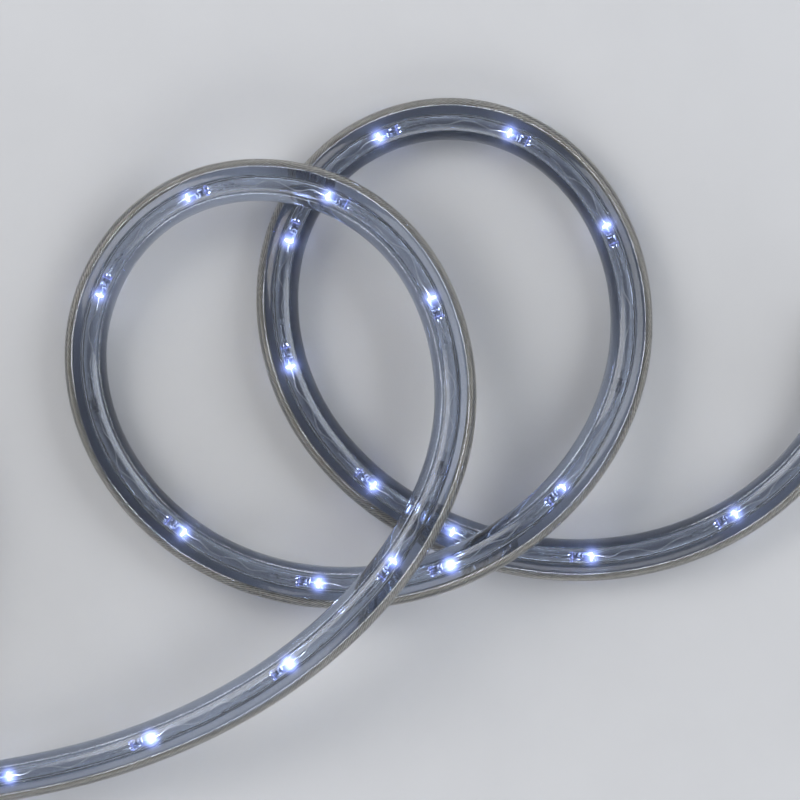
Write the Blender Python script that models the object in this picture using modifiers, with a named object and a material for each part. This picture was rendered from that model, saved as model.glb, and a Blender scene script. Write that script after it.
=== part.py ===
"""Clear round LED rope light: three metres, its loose stretch laid in three loops, the spare wound in a flat coil.

Metres, +Z up. The part lies on the plane z = 0, and its box is centred on the origin. The rope's path runs from
the end cap, through the flat coil and the loose loops, to the two-pin inlet at the feed end.
"""

import math

import bmesh
import bpy
import numpy as np
from mathutils import Matrix, Vector

MM = 0.001

# Clear sheath, with a bore for the light strings and two channels for the feed conductors
SHEATH_RADIUS = 6.5 * MM
BORE_RADIUS = 1.8 * MM
BORE_INWARD = 0.7 * MM
CONDUCTOR_RADIUS = 0.85 * MM
CONDUCTOR_OUTWARD = 4.0 * MM
CONDUCTOR_SPREAD = 1.5 * MM
CLEARANCE = 0.3 * MM

# Light emitting diodes, lengthwise in the bore, and the thin wire that links one to the next
LED_LENGTH = 7.2 * MM
LED_DOME = 1.1 * MM
LED_RADIUS = BORE_RADIUS - CLEARANCE
LINK_WIRE_RADIUS = 0.35 * MM
STRAIGHT_AT_LED = 9.6 * MM
STATION_STEP = 17.0 * MM

# Flat spare coil and the ties round it
COIL_CENTRE = Vector((-229.5, -33.7)) * MM
COIL_INNER_RADIUS = 52.0 * MM
COIL_TURNS = 3.5
COIL_PITCH = 2 * SHEATH_RADIUS + CLEARANCE
POINTS_A_TURN = 16
TIE_THICKNESS = 1.2 * MM
TIE_WIDTH = 4.0 * MM
TIE_ANGLES = (125.0, 215.0)
COIL_LIFT = TIE_THICKNESS + CLEARANCE
COIL_SECTIONS = 40

# Fittings
CAP_RADIUS = 8.0 * MM
CAP_LENGTH = 24.0 * MM
SOCKET_DEPTH = 14.0 * MM
INLET_RADIUS = 10.0 * MM
INLET_LENGTH = 34.0 * MM
# The rope runs straight in each socket, and this far in front of it
SOCKET_LEAD = 2.0 * MM
INLET_NECK_RADIUS = 8.6 * MM
INLET_NECK_LENGTH = 9.0 * MM
EDGE = 0.8 * MM
PIN_RADIUS = 1.0 * MM
PIN_SPREAD = 3.2 * MM
PIN_OUT = 9.0 * MM
PIN_IN = 10.0 * MM

# The view's centre in the model's frame, which puts the middle of the model's box on the origin
VIEW_CENTRE = Vector((86.2, 22.8)) * MM

# Millimetres from the view's centre, then the height of the rope's axis. The first rows leave the coil, and the
# rope crosses over itself where the height passes two rope thicknesses.
ROUTE = (
    (-199.5, -129.2, 8.0), (-176.0, -125.6, 8.2), (-150.0, -121.5, 8.8), (-123.0, -117.1, 9.6), (-97.0, -111.6, 11.4),
    (-70.7, -102.6, 15.5), (-46.5, -90.4, 20.0), (-24.5, -74.6, 24.6), (-5.5, -55.3, 27.2),
    (9.0, -32.5, 25.2), (16.6, -6.6, 20.6), (14.5, 20.2, 17.8), (2.9, 44.6, 18.2), (-17.9, 61.6, 20.4),
    (-44.4, 67.4, 18.4), (-70.2, 60.5, 14.4), (-89.1, 41.4, 9.8), (-96.6, 15.5, 7.0), (-91.7, -10.8, 6.6),
    (-76.7, -33.2, 6.6), (-54.7, -49.1, 7.4), (-28.8, -56.9, 10.0), (-2.0, -56.4, 13.6), (23.7, -47.9, 19.6),
    (45.8, -32.3, 19.4), (62.3, -10.7, 13.6), (70.6, 14.9, 8.6), (68.8, 41.8, 6.8), (56.7, 66.1, 6.6),
    (35.6, 82.3, 6.6), (9.1, 86.1, 6.6), (-16.1, 76.3, 6.6), (-32.8, 55.4, 6.6), (-37.7, 28.9, 6.6),
    (-31.9, 2.7, 6.6), (-16.8, -19.7, 6.6), (4.7, -36.2, 6.6), (29.7, -46.1, 6.6), (56.6, -49.2, 6.6),
    (83.4, -45.0, 6.6), (107.8, -33.3, 6.8), (127.2, -14.9, 7.8), (141.5, 11.5, 10.3),
)
# Turns past the flat coil, distance from the coil's centre and height above the coil's own axis, of the end that
# climbs on to the coil
TOP_END = (
    (0.06, 51.3, 2.2), (0.12, 50.9, 6.0), (0.18, 51.1, 10.2), (0.24, 52.4, 13.2), (0.30, 55.2, 14.6),
    (0.36, 59.2, 15.0), (0.42, 64.4, 15.1), (0.48, 70.2, 15.1),
)
# Places of the diodes' tips, in millimetres of floor plan from the view's left edge, against the rope's way
LED_PLACES = (
    2.5, 48.2, 97.1, 141.9, 178.8, 228.2, 274.5, 319.2, 361.6, 401.8, 446.1, 491.7, 533.6, 575.5,
    616.8, 663.5, 706.4, 748.4, 792.8, 832.6, 878.4, 906.9, 951.1, 998.2,
)
VIEW_EDGE_ROW = 3
# The loose stretch starts this far from where the rope leaves the coil
LEAVING_LENGTH = 63.0 * MM


def clear_scene():
    for old in list(bpy.data.objects):
        bpy.data.objects.remove(old, do_unlink=True)


def new_collection(name):
    made = bpy.data.collections.new(name)
    bpy.context.scene.collection.children.link(made)
    return made


def material(name, colour, roughness, metallic=0.0, alpha=1.0):
    made = bpy.data.materials.new(name)
    made.use_nodes = True
    shader = made.node_tree.nodes["Principled BSDF"]
    shader.inputs["Base Color"].default_value = (*colour, 1.0)
    shader.inputs["Roughness"].default_value = roughness
    shader.inputs["Metallic"].default_value = metallic
    shader.inputs["Alpha"].default_value = alpha
    made.diffuse_color = (*colour, alpha)
    return made


def coil_place(turn, radius, height):
    """A point of the coil, so many turns back from where the rope leaves its outer turn."""
    angle = -math.pi / 2 - 2 * math.pi * turn
    centre = COIL_CENTRE + VIEW_CENTRE
    return (centre.x + radius * math.cos(angle), centre.y + radius * math.sin(angle), height)


def coil_radius(turn):
    return COIL_INNER_RADIUS + COIL_PITCH * (COIL_TURNS - turn)


def coil_points():
    """From the capped end on top of the coil, down to the floor and out to where the rope leaves the coil."""
    level = SHEATH_RADIUS + COIL_LIFT
    points = []
    for past, radius, rise in reversed(TOP_END):
        points.append(coil_place(COIL_TURNS + past, radius * MM, level + rise * MM))
    count = round(COIL_TURNS * POINTS_A_TURN)
    for i in range(count, -1, -1):
        turn = COIL_TURNS * i / count
        points.append(coil_place(turn, coil_radius(turn), level))
    return points


def smooth_curve(points, step=0.5 * MM):
    """A natural cubic spline through the points, read at close steps."""
    knots = np.array(points, float)
    run = np.concatenate([[0.0], np.cumsum(np.linalg.norm(np.diff(knots, axis=0), axis=1))])
    span = np.diff(run)
    size = len(knots)
    system = np.eye(size)
    load = np.zeros((size, 3))
    for i in range(1, size - 1):
        system[i, i - 1 : i + 2] = (span[i - 1], 2 * (span[i - 1] + span[i]), span[i])
        load[i] = 6 * ((knots[i + 1] - knots[i]) / span[i] - (knots[i] - knots[i - 1]) / span[i - 1])
    bend = np.linalg.solve(system, load)
    along = np.linspace(0.0, run[-1], int(run[-1] / step) + 1)
    k = np.clip(np.searchsorted(run, along, side="right") - 1, 0, size - 2)
    b = ((along - run[k]) / span[k])[:, None]
    a = 1 - b
    square = (span[k] ** 2)[:, None] / 6
    return a * knots[k] + b * knots[k + 1] + ((a**3 - a) * bend[k] + (b**3 - b) * bend[k + 1]) * square


class Rope:
    """The rope's axis, read by the plan distance from the view's left edge."""

    def __init__(self):
        coil = coil_points()
        rows = [(x * MM + VIEW_CENTRE.x, y * MM + VIEW_CENTRE.y, z * MM) for x, y, z in ROUTE]
        self.line = smooth_curve(coil + rows)
        steps = np.diff(self.line, axis=0)
        self.run = np.concatenate([[0.0], np.cumsum(np.linalg.norm(steps[:, :2], axis=1))])
        self.length = float(np.linalg.norm(steps, axis=1).sum())
        self.run -= self.run[self.nearest(rows[VIEW_EDGE_ROW])]
        self.leaves_coil = self.run[self.nearest(coil[-1])]
        self.meets_coil = self.run[self.nearest(coil[len(TOP_END)])]
        self.first = float(self.run[0])
        self.last = float(self.run[-1])

    def nearest(self, point):
        return int(np.argmin(np.linalg.norm(self.line - np.array(point), axis=1)))

    def at(self, distance):
        return Vector([float(np.interp(distance, self.run, self.line[:, axis])) for axis in range(3)])

    def way(self, distance, reach=1.0 * MM):
        start = max(self.first, distance - reach)
        end = min(self.last, distance + reach)
        return (self.at(end) - self.at(start)).normalized()

    def off_axis(self, distance, outward, upward):
        """A point beside the axis: outward is away from the bend's centre, upward is away from the floor."""
        way = self.way(distance)
        side = way.cross(Vector((0, 0, 1))).normalized()
        return self.at(distance) + side * outward + side.cross(way) * upward


def stations(rope, start, end):
    """Plan distances along the loose stretch: two at each diode, with a short straight between, and some between."""
    half = STRAIGHT_AT_LED / 2
    stops = [start]
    for place in LED_PLACES:
        centre = place * MM - LED_LENGTH / 2 + LED_DOME
        stops += [centre - half, centre + half]
    stops += [end - SOCKET_DEPTH - SOCKET_LEAD, end]
    found = [start]
    for a, b in zip(stops, stops[1:]):
        count = max(1, round((b - a) / STATION_STEP))
        found += [a + (b - a) * (i + 1) / count for i in range(count)]
    return found


def even_stations(start, end):
    count = max(2, math.ceil(abs(end - start) / STATION_STEP))
    return [start + (end - start) * i / count for i in range(count + 1)]


def tube(name, points, radius, resolution, surface, collection):
    """A round bar along the points, as a curve with filled ends."""
    data = bpy.data.curves.new(name, "CURVE")
    data.dimensions = "3D"
    data.twist_mode = "Z_UP"
    data.bevel_depth = radius
    data.bevel_resolution = resolution
    data.use_fill_caps = True
    data.render_resolution_u = 0
    spline = data.splines.new("POLY")
    spline.points.add(len(points) - 1)
    for target, point in zip(spline.points, points):
        target.co = (*point, 1.0)
    data.materials.append(surface)
    made = bpy.data.objects.new(name, data)
    collection.objects.link(made)
    return made


def as_mesh(curve_object):
    """The curve object's mesh, with its caps welded on, in a new object of the same name."""
    bpy.context.view_layer.update()
    evaluated = curve_object.evaluated_get(bpy.context.evaluated_depsgraph_get())
    mesh = bpy.data.meshes.new_from_object(evaluated)
    shape = bmesh.new()
    shape.from_mesh(mesh)
    bmesh.ops.remove_doubles(shape, verts=shape.verts, dist=0.01 * MM)
    bmesh.ops.recalc_face_normals(shape, faces=shape.faces)
    shape.to_mesh(mesh)
    shape.free()
    name, home, matrix = curve_object.name, curve_object.users_collection[0], curve_object.matrix_world.copy()
    bpy.data.objects.remove(curve_object, do_unlink=True)
    made = bpy.data.objects.new(name, mesh)
    made.matrix_world = matrix
    home.objects.link(made)
    return made


def turned(name, profile, sections, surface, collection, closed=False):
    """A shape turned about its own Z, from a profile at +X that runs down its outer side."""
    mesh = bpy.data.meshes.new(name)
    edges = [(i, i + 1) for i in range(len(profile) - 1)]
    if closed:
        edges.append((len(profile) - 1, 0))
    mesh.from_pydata([(x, 0.0, z) for x, z in profile], edges, [])
    mesh.materials.append(surface)
    made = bpy.data.objects.new(name, mesh)
    collection.objects.link(made)
    screw = made.modifiers.new("turn", "SCREW")
    screw.axis = "Z"
    screw.steps = sections
    screw.render_steps = sections
    screw.use_merge_vertices = True
    screw.merge_threshold = 0.01 * MM
    screw.use_smooth_shade = True
    return made


def cylinder(name, radius, low, high, sides, surface, collection):
    """A cylinder along its own Z, from low to high."""
    shape = bmesh.new()
    middle = Matrix.Translation((0, 0, (low + high) / 2))
    bmesh.ops.create_cone(
        shape, cap_ends=True, segments=sides, radius1=radius, radius2=radius, depth=high - low, matrix=middle
    )
    mesh = bpy.data.meshes.new(name)
    shape.to_mesh(mesh)
    shape.free()
    mesh.materials.append(surface)
    made = bpy.data.objects.new(name, mesh)
    collection.objects.link(made)
    return made


def combine(target, other, operation, cutters):
    """A Boolean on the target, with the other object put away among the cutters."""
    for home in list(other.users_collection):
        home.objects.unlink(other)
    cutters.objects.link(other)
    other.hide_render = True
    other.display_type = "WIRE"
    change = target.modifiers.new(other.name, "BOOLEAN")
    change.operation = operation
    change.solver = "EXACT"
    change.object = other


def frame_along(point, way):
    """A matrix whose Z runs along way, with its X level."""
    side = way.cross(Vector((0, 0, 1))).normalized()
    return Matrix.Translation(point) @ Matrix((side, way.cross(side), way)).transposed().to_4x4()


def apothem_to_corner(radius, sides):
    return radius / math.cos(math.pi / sides)


def make_sheath(rope, stops, surface, parts, cutters):
    """The loose stretch of the clear sheath, with its bore and its two channels right through."""
    axis = [rope.at(d) for d in stops]
    sheath = as_mesh(tube("sheath", axis, SHEATH_RADIUS, 4, surface, parts))
    past = [stops[0] - MM, *stops[1:-1], stops[-1]]
    hollows = (
        ("bore", -BORE_INWARD, 0.0, apothem_to_corner(BORE_RADIUS, 8), 2),
        ("channel_upper", CONDUCTOR_OUTWARD, CONDUCTOR_SPREAD, apothem_to_corner(
            CONDUCTOR_RADIUS + CLEARANCE, 6), 1),
        ("channel_lower", CONDUCTOR_OUTWARD, -CONDUCTOR_SPREAD, apothem_to_corner(
            CONDUCTOR_RADIUS + CLEARANCE, 6), 1),
    )
    for name, outward, upward, radius, resolution in hollows:
        line = [rope.off_axis(d, outward, upward) for d in past]
        line[-1] += rope.way(stops[-1]) * MM
        cutter = as_mesh(tube(name, line, radius, resolution, surface, parts))
        combine(sheath, cutter, "DIFFERENCE", cutters)
    return sheath


def make_conductors(rope, stops, surface, parts):
    for name, upward in (("conductor_upper", CONDUCTOR_SPREAD), ("conductor_lower", -CONDUCTOR_SPREAD)):
        line = [rope.off_axis(d, CONDUCTOR_OUTWARD, upward) for d in stops]
        tube(name, line, CONDUCTOR_RADIUS, 1, surface, parts)


def led_profile():
    body = LED_LENGTH - LED_DOME
    points = [(0.0, LED_LENGTH)]
    for angle in (60, 30):
        rise = math.radians(angle)
        points.append((LED_RADIUS * math.cos(rise), body + LED_DOME * math.sin(rise)))
    return points + [(LED_RADIUS, body), (LED_RADIUS, 0.0), (0.0, 0.0)]


def make_light_string(rope, led_surface, wire_surface, parts):
    """The diodes on the bore's axis, each on a straight of the path, and a wire from each tip to the next back."""
    half = STRAIGHT_AT_LED / 2
    ends = []
    for number, place in enumerate(LED_PLACES, 1):
        centre = place * MM - LED_LENGTH / 2 + LED_DOME
        back = rope.off_axis(centre - half, -BORE_INWARD, 0.0)
        front = rope.off_axis(centre + half, -BORE_INWARD, 0.0)
        way = (front - back).normalized()
        start = (back + front) / 2 - way * LED_LENGTH / 2
        led = turned(f"led_{number:02d}", led_profile(), 8, led_surface, parts)
        led.matrix_world = frame_along(start, way)
        ends.append((centre, start, start + way * LED_LENGTH, way))
    for number, (here, onward) in enumerate(zip(ends, ends[1:]), 1):
        a, b = here[0] + half, onward[0] - half
        count = max(1, round((b - a) / STATION_STEP))
        line = [here[2] + here[3] * CLEARANCE]
        line += [rope.off_axis(a + (b - a) * i / count, -BORE_INWARD, 0.0) for i in range(count + 1)]
        line.append(onward[1] - onward[3] * CLEARANCE)
        tube(f"link_wire_{number:02d}", line, LINK_WIRE_RADIUS, 0, wire_surface, parts)


def ring_turns():
    """Distances from the coil's centre of the turns that its solid shows."""
    outer = coil_radius(0.25)
    return [outer - COIL_PITCH * i for i in range(math.ceil(COIL_TURNS))]


def ring_profile():
    """The turns side by side, with a groove between each and the next."""
    turns = ring_turns()
    level = SHEATH_RADIUS + COIL_LIFT
    last = len(turns) - 1

    def arc(radius, angles):
        return [
            (
                radius + SHEATH_RADIUS * math.cos(math.radians(angle)),
                level + SHEATH_RADIUS * math.sin(math.radians(angle)),
            )
            for angle in angles
        ]

    points = arc(turns[0], (135, 90, 45, 0, -45, -90, -135))
    for radius in turns[1:last]:
        points += arc(radius, (-45, -90, -135))
    points += arc(turns[last], (-45, -90, -135, -180, -225, -270, -315))
    for radius in reversed(turns[1:last]):
        points += arc(radius, (135, 90, 45))
    return points


def make_coil(rope, sheath_start, surface, parts, cutters):
    """The spare rope's flat coil, with the stretch that leaves it and the end that climbs on to it."""
    coil = turned("spare_coil", ring_profile(), COIL_SECTIONS, surface, parts, closed=True)
    centre = COIL_CENTRE + VIEW_CENTRE
    coil.location = (centre.x, centre.y, 0.0)
    leaving = even_stations(rope.leaves_coil - SHEATH_RADIUS, sheath_start - CLEARANCE)
    line = [rope.at(d) for d in leaving]
    stub = as_mesh(tube("leaving_stretch", line, SHEATH_RADIUS, 4, surface, parts))
    combine(coil, stub, "UNION", cutters)
    in_cap = rope.first + SOCKET_DEPTH + SOCKET_LEAD
    climbing = [rope.first, *even_stations(in_cap, rope.meets_coil + SHEATH_RADIUS)]
    line = [rope.at(d) for d in climbing]
    stub = as_mesh(tube("climbing_end", line, SHEATH_RADIUS, 4, surface, parts))
    combine(coil, stub, "UNION", cutters)
    return coil


def rounded_box(half_width, half_height, corner, steps=3):
    points = []
    for quarter, (sx, sy) in enumerate(((1, 1), (-1, 1), (-1, -1), (1, -1))):
        for i in range(steps + 1):
            angle = math.pi / 2 * (quarter + i / steps)
            x = sx * (half_width - corner) + corner * math.cos(angle)
            y = sy * (half_height - corner) + corner * math.sin(angle)
            points.append((x, y))
    return points


def make_ties(surface, parts):
    """Flat bands round the coil's section, which the coil rests on."""
    turns = ring_turns()
    middle = (turns[0] + turns[-1]) / 2
    half_width = (turns[0] - turns[-1]) / 2 + SHEATH_RADIUS + CLEARANCE
    half_height = SHEATH_RADIUS + CLEARANCE
    centre = COIL_CENTRE + VIEW_CENTRE
    corner = SHEATH_RADIUS
    for number, degrees in enumerate(TIE_ANGLES, 1):
        name = f"coil_tie_{number}"
        data = bpy.data.curves.new(name, "CURVE")
        data.dimensions = "2D"
        data.fill_mode = "BOTH"
        data.extrude = TIE_WIDTH / 2
        data.render_resolution_u = 0
        outlines = (
            rounded_box(half_width + TIE_THICKNESS, half_height + TIE_THICKNESS, corner + TIE_THICKNESS),
            rounded_box(half_width, half_height, corner),
        )
        for outline in outlines:
            spline = data.splines.new("POLY")
            spline.points.add(len(outline) - 1)
            spline.use_cyclic_u = True
            for target, (x, y) in zip(spline.points, outline):
                target.co = (x, y, 0.0, 1.0)
        data.materials.append(surface)
        tie = bpy.data.objects.new(name, data)
        angle = math.radians(degrees)
        outward = Vector((math.cos(angle), math.sin(angle), 0.0))
        up = Vector((0.0, 0.0, 1.0))
        turn = Matrix((outward, up, outward.cross(up))).transposed().to_4x4()
        place = Vector((centre.x, centre.y, SHEATH_RADIUS + COIL_LIFT)) + outward * middle
        tie.matrix_world = Matrix.Translation(place) @ turn
        parts.objects.link(tie)


def socket_wall():
    return SHEATH_RADIUS + CLEARANCE


def socket_frame(rope_end, behind):
    """A fitting's frame: its mouth on the rope, its Z past the rope's end, a clearance left at the socket's floor."""
    way = (rope_end - behind).normalized()
    return frame_along(rope_end - way * (SOCKET_DEPTH - CLEARANCE), way)


def make_end_cap(rope, surface, parts):
    """A blunt cup over the rope's far end, mouth towards the rope."""
    profile = [
        (0.0, CAP_LENGTH),
        (CAP_RADIUS - 2 * EDGE, CAP_LENGTH),
        (CAP_RADIUS - EDGE / 2, CAP_LENGTH - EDGE / 2),
        (CAP_RADIUS, CAP_LENGTH - 2 * EDGE),
        (CAP_RADIUS, 0.0),
        (socket_wall(), 0.0),
        (socket_wall(), SOCKET_DEPTH),
        (0.0, SOCKET_DEPTH),
    ]
    cap = turned("end_cap", profile, 20, surface, parts)
    cap.matrix_world = socket_frame(rope.at(rope.first), rope.at(rope.first + SOCKET_DEPTH + SOCKET_LEAD))


def make_inlet(rope, body_surface, pin_surface, parts, cutters):
    """The feed end's moulded inlet: a socket for the rope behind, a flat face with two pins in front."""
    shoulder = INLET_NECK_LENGTH + EDGE * 2
    profile = [
        (0.0, INLET_LENGTH),
        (INLET_RADIUS - EDGE, INLET_LENGTH),
        (INLET_RADIUS, INLET_LENGTH - EDGE),
        (INLET_RADIUS, shoulder),
        (INLET_NECK_RADIUS, INLET_NECK_LENGTH),
        (INLET_NECK_RADIUS, 0.0),
        (socket_wall(), 0.0),
        (socket_wall(), SOCKET_DEPTH),
        (0.0, SOCKET_DEPTH),
    ]
    inlet = turned("inlet_body", profile, 24, body_surface, parts)
    place = socket_frame(rope.at(rope.last), rope.at(rope.last - SOCKET_DEPTH - SOCKET_LEAD))
    inlet.matrix_world = place
    for number, side in enumerate((1, -1), 1):
        aside = Matrix.Translation((side * PIN_SPREAD, 0, 0))
        hole_radius = apothem_to_corner(PIN_RADIUS + CLEARANCE, 12)
        low = INLET_LENGTH - PIN_IN
        hole = cylinder(f"pin_hole_{number}", hole_radius, low - CLEARANCE, INLET_LENGTH + MM, 12, body_surface, parts)
        hole.matrix_world = place @ aside
        combine(inlet, hole, "DIFFERENCE", cutters)
        pin = cylinder(f"inlet_pin_{number}", PIN_RADIUS, low, INLET_LENGTH + PIN_OUT, 12, pin_surface, parts)
        pin.matrix_world = place @ aside


def shade_round_pieces(parts):
    for piece in parts.objects:
        if piece.type == "MESH":
            piece.data.shade_smooth()


def main():
    clear_scene()
    parts = new_collection("led_rope_light")
    cutters = new_collection("cutters")
    clear_plastic = material("clear_plastic", (0.82, 0.86, 0.92), 0.12, alpha=0.35)
    tinned_strand = material("tinned_strand", (0.62, 0.57, 0.50), 0.35, metallic=1.0)
    led_epoxy = material("led_epoxy", (0.80, 0.90, 1.0), 0.15)
    lead_wire = material("lead_wire", (0.75, 0.75, 0.76), 0.3, metallic=1.0)
    black_plastic = material("black_plastic", (0.03, 0.03, 0.03), 0.45)
    plated_pin = material("plated_pin", (0.80, 0.78, 0.72), 0.25, metallic=1.0)

    rope = Rope()
    sheath_start = rope.leaves_coil + LEAVING_LENGTH
    stops = stations(rope, sheath_start, rope.last)
    make_sheath(rope, stops, clear_plastic, parts, cutters)
    make_conductors(rope, stops, tinned_strand, parts)
    make_light_string(rope, led_epoxy, lead_wire, parts)
    make_coil(rope, sheath_start, clear_plastic, parts, cutters)
    make_ties(black_plastic, parts)
    make_end_cap(rope, clear_plastic, parts)
    make_inlet(rope, black_plastic, plated_pin, parts, cutters)
    shade_round_pieces(parts)
    bpy.context.view_layer.update()


main()
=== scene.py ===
"""Looks of the clear round LED rope light: sheath, conductors, diodes, their wires, ties and fittings.

Metres, +Z up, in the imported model's frame. Distances along the rope run from its capped end to its feed end.
Beside the rope's axis, outward is away from the bend's centre and upward is away from the floor.
"""

import math
import random

import bmesh
import bpy
import numpy as np
from mathutils import Matrix, Vector

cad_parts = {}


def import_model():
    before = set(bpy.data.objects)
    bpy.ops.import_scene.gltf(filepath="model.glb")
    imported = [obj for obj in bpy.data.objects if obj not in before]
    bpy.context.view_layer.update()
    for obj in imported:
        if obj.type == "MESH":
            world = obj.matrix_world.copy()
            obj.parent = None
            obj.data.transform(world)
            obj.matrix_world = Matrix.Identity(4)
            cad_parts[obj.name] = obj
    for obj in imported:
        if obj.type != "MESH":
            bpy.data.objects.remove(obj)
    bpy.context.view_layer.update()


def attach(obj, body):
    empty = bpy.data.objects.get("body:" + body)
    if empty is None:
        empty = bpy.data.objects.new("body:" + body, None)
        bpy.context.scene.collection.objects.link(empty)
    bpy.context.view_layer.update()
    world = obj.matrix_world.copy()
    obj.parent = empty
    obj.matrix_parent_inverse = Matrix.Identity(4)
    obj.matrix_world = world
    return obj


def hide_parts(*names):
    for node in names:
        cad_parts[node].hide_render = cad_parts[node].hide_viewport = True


MM = 0.001

# The rope's section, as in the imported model
SHEATH_RADIUS = 6.5 * MM
BORE_RADIUS = 1.8 * MM
BORE_INWARD = 0.7 * MM
CONDUCTOR_OUTWARD = 4.0 * MM
CONDUCTOR_SPREAD = 1.5 * MM
CONDUCTOR_FROM_END = 0.5 * MM
CLEARANCE = 0.3 * MM
LED_LENGTH = 7.2 * MM
LED_DOME = 1.1 * MM

# Flat spare coil
COIL_CENTRE = Vector((-229.5, -33.7)) * MM
COIL_INNER_RADIUS = 52.0 * MM
COIL_TURNS = 3.5
COIL_PITCH = 2 * SHEATH_RADIUS + CLEARANCE
POINTS_A_TURN = 16
TIE_THICKNESS = 1.2 * MM
TIE_WIDTH = 4.0 * MM
TIE_EDGE = 0.25 * MM
TIE_ANGLES = (125.0, 215.0)
COIL_LIFT = TIE_THICKNESS + CLEARANCE

# A tie's head and the cut end of its tail, in millimetres: start, foot over the band, half width; end, top
TIE_BLOCKS = (((6.0, -0.6, 3.1), (12.4, 3.2)), ((3.2, 0.5, 1.9), (6.4, 1.6)))
TIE_BLOCK_EDGE = 0.35 * MM

# Fittings
CAP_RADIUS = 8.0 * MM
CAP_LENGTH = 24.0 * MM
CAP_EDGE = 0.3 * MM
SOCKET_DEPTH = 14.0 * MM
SOCKET_LEAD = 2.0 * MM
SOCKET_EDGE = 0.5 * MM
INLET_RADIUS = 10.0 * MM
INLET_LENGTH = 34.0 * MM
INLET_NECK_RADIUS = 8.6 * MM
INLET_NECK_LENGTH = 9.0 * MM
NECK_SHOULDER = 0.3 * MM
NECK_MOUTH_EDGE = 0.4 * MM
EDGE = 0.8 * MM
LIP = 0.2 * MM
PIN_RADIUS = 1.0 * MM
PIN_NOSE = 0.7 * MM
PIN_SPREAD = 3.2 * MM
PIN_OUT = 9.0 * MM
PIN_IN = 10.0 * MM

# The inlet's neck has three grooves, and its body has lengthwise flutes between two distances from its mouth
NECK_GROOVES = (7.2 * MM, 5.0 * MM, 2.8 * MM)
GROOVE_DEPTH = 0.7 * MM
GROOVE_HALF = 0.8 * MM
GROOVE_FLOOR_HALF = 0.5 * MM
FLUTES = 20
FLUTE_DEPTH = 0.45 * MM
FLUTES_FROM = 12.5 * MM
FLUTES_TO = 30.0 * MM
BODY_RINGS = (30.4 * MM, 29.6 * MM, 24.0 * MM, 18.0 * MM, 13.0 * MM, 12.4 * MM)

# The photograph's view: straight down, this point in the middle, this much floor across
VIEW_CENTRE = Vector((86.2, 22.8)) * MM
VIEW_WIDTH = 245.6 * MM
VIEW_LEVEL = 10.0 * MM
CAMERA_HEIGHT = 3.0
SENSOR = 36.0

# The loose stretch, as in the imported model: millimetres from the view's centre, then the axis's height
ROUTE = (
    (-199.5, -129.2, 8.0), (-176.0, -125.6, 8.2), (-150.0, -121.5, 8.8), (-123.0, -117.1, 9.6),
    (-97.0, -111.6, 11.4), (-70.7, -102.6, 15.5), (-46.5, -90.4, 20.0), (-24.5, -74.6, 24.6),
    (-5.5, -55.3, 27.2), (9.0, -32.5, 25.2), (16.6, -6.6, 20.6), (14.5, 20.2, 17.8),
    (2.9, 44.6, 18.2), (-17.9, 61.6, 20.4), (-44.4, 67.4, 18.4), (-70.2, 60.5, 14.4),
    (-89.1, 41.4, 9.8), (-96.6, 15.5, 7.0), (-91.7, -10.8, 6.6), (-76.7, -33.2, 6.6),
    (-54.7, -49.1, 7.4), (-28.8, -56.9, 10.0), (-2.0, -56.4, 13.6), (23.7, -47.9, 19.6),
    (45.8, -32.3, 19.4), (62.3, -10.7, 13.6), (70.6, 14.9, 8.6), (68.8, 41.8, 6.8), (56.7, 66.1, 6.6),
    (35.6, 82.3, 6.6), (9.1, 86.1, 6.6), (-16.1, 76.3, 6.6), (-32.8, 55.4, 6.6), (-37.7, 28.9, 6.6),
    (-31.9, 2.7, 6.6), (-16.8, -19.7, 6.6), (4.7, -36.2, 6.6), (29.7, -46.1, 6.6), (56.6, -49.2, 6.6),
    (83.4, -45.0, 6.6), (107.8, -33.3, 6.8), (127.2, -14.9, 7.8), (141.5, 11.5, 10.3),
)
VIEW_EDGE_ROW = 3

# The capped end on the coil: turns past the last one, then distance from the centre and rise in millimetres
TOP_END = (
    (0.06, 51.3, 2.2), (0.12, 50.9, 6.0), (0.18, 51.1, 10.2), (0.24, 52.4, 13.2), (0.30, 55.2, 14.6),
    (0.36, 59.2, 15.0), (0.42, 64.4, 15.1), (0.48, 70.2, 15.1),
)

# Where each diode's bright tip shows: millimetres along the rope from the view's left edge, seen from above
LED_PLACES = (
    2.5, 48.2, 97.1, 141.9, 178.8, 228.2, 274.5, 319.2, 361.6, 401.8, 446.1, 491.7, 533.6, 575.5,
    616.8, 663.5, 706.4, 748.4, 792.8, 832.6, 878.4, 906.9, 951.1, 998.2,
)

# How far the section rolls about the rope's axis, either way: degrees, the length of a cycle, where it starts
ROLLS = ((9.0, 173.0 * MM, 0.4), (5.0, 71.0 * MM, 2.1))

# Diodes: every fifth one blinks, and the photograph caught those dark but for the ones named here
LED_PITCH = 44.4 * MM
BLINK_EVERY = 5
BLINKING_ON = (20,)
FLANGE_RADIUS = 1.68 * MM
FLANGE_LENGTH = 0.9 * MM
FLANGE_FLAT = 1.4 * MM
LENS_RADIUS = 1.42 * MM
FLANGE_EDGE = 0.1 * MM

# Inside a diode, millimetres from its back's middle: two posts, the block on one, the cup on it and the chip
POST_SPREAD = 0.62 * MM
POST_FOOT = 0.1 * MM
POST_TOPS = (2.0 * MM, 3.2 * MM)
BLOCK = ((-1.0, -0.3, 1.9), (0.22, 0.3, 3.3))
CUP = ((0.0, 3.2), (0.42, 3.2), (0.72, 4.1), (0.62, 4.1), (0.34, 3.5), (0.0, 3.5))
CUP_ASIDE = -0.3 * MM
CHIP = ((-0.52, -0.2, 3.5), (-0.1, 0.2, 3.72))

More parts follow.
